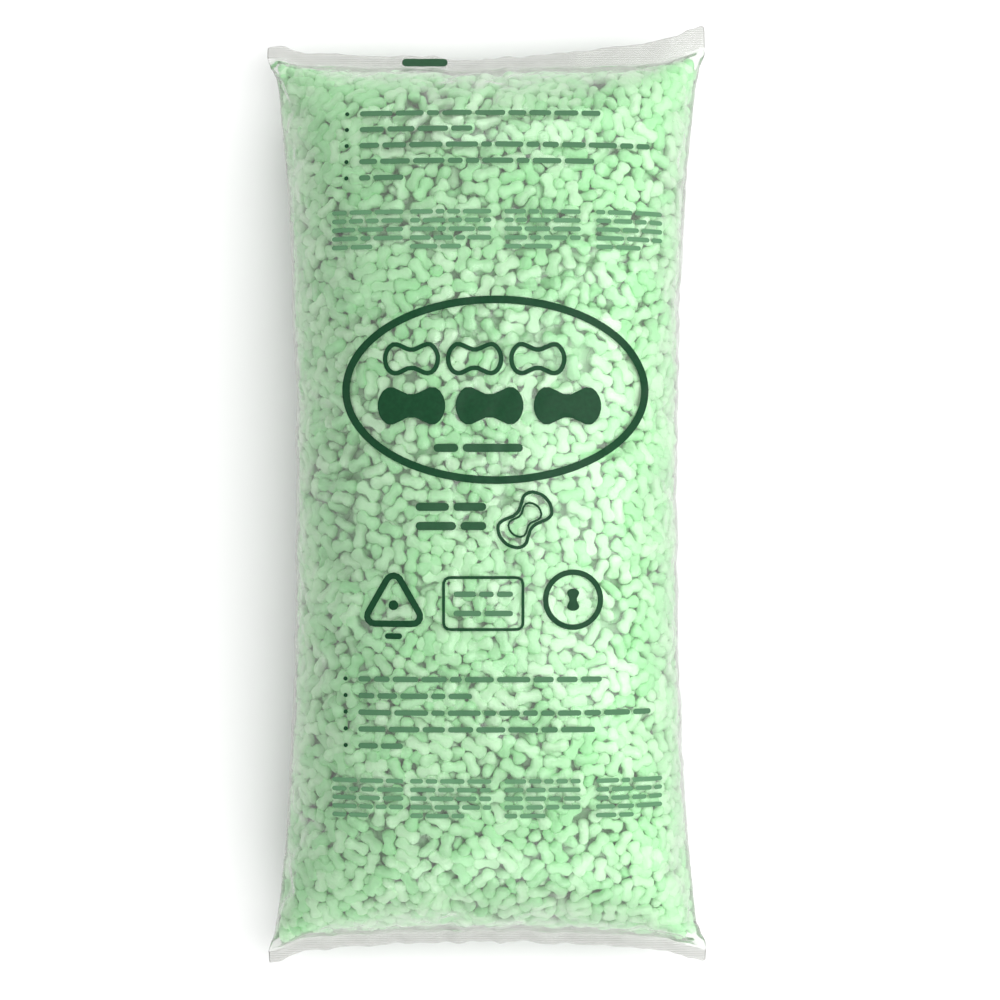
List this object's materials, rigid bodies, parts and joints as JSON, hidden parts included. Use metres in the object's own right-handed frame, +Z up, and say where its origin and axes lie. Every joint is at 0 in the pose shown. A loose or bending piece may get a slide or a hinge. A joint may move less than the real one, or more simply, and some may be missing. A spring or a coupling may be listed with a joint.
{
  "type": "packing peanut bag",
  "caption": "Pillow-shaped bag of clear film, welded flat across both ends and filled with pale green figure-eight foam packing peanuts, lying on its back.",
  "frame": {"origin": "on the floor, under the middle of the bag's length and width", "axes": "+Z up, out of the printed face; +Y along the bag towards its top end; +X across the bag, to the right of a reader of the printed face"},
  "size_m": [0.743, 1.551, 0.3465],
  "materials": {
    "film": "thin clear polythene film, slightly hazy and glossy, grey-white where two plies lie together",
    "foam": "pale mint-green expanded foam with a fine cell texture",
    "ink": "dark green printing ink on the film's upper face"
  },
  "bodies": {
    "root": {"film_bag": "film", "loose_fill": "foam", "peanut_01": "foam", "peanut_02": "foam", "peanut_03": "foam", "peanut_04": "foam", "peanut_05": "foam", "peanut_06": "foam", "peanut_07": "foam", "peanut_08": "foam", "peanut_09": "foam", "peanut_10": "foam", "peanut_11": "foam", "peanut_12": "foam", "peanut_13": "foam", "peanut_14": "foam", "peanut_15": "foam", "peanut_16": "foam", "peanut_17": "foam", "peanut_18": "foam", "peanut_19": "foam", "peanut_20": "foam", "peanut_21": "foam", "peanut_22": "foam", "peanut_23": "foam", "peanut_24": "foam", "peanut_25": "foam", "peanut_26": "foam", "peanut_27": "foam", "peanut_28": "foam", "peanut_29": "foam", "peanut_30": "foam", "peanut_31": "foam", "peanut_32": "foam", "peanut_33": "foam", "peanut_34": "foam", "peanut_35": "foam", "peanut_36": "foam", "peanut_37": "foam", "peanut_38": "foam", "peanut_39": "foam", "peanut_40": "foam", "peanut_41": "foam", "peanut_42": "foam", "peanut_43": "foam", "peanut_44": "foam"}
  },
  "joints": []
}
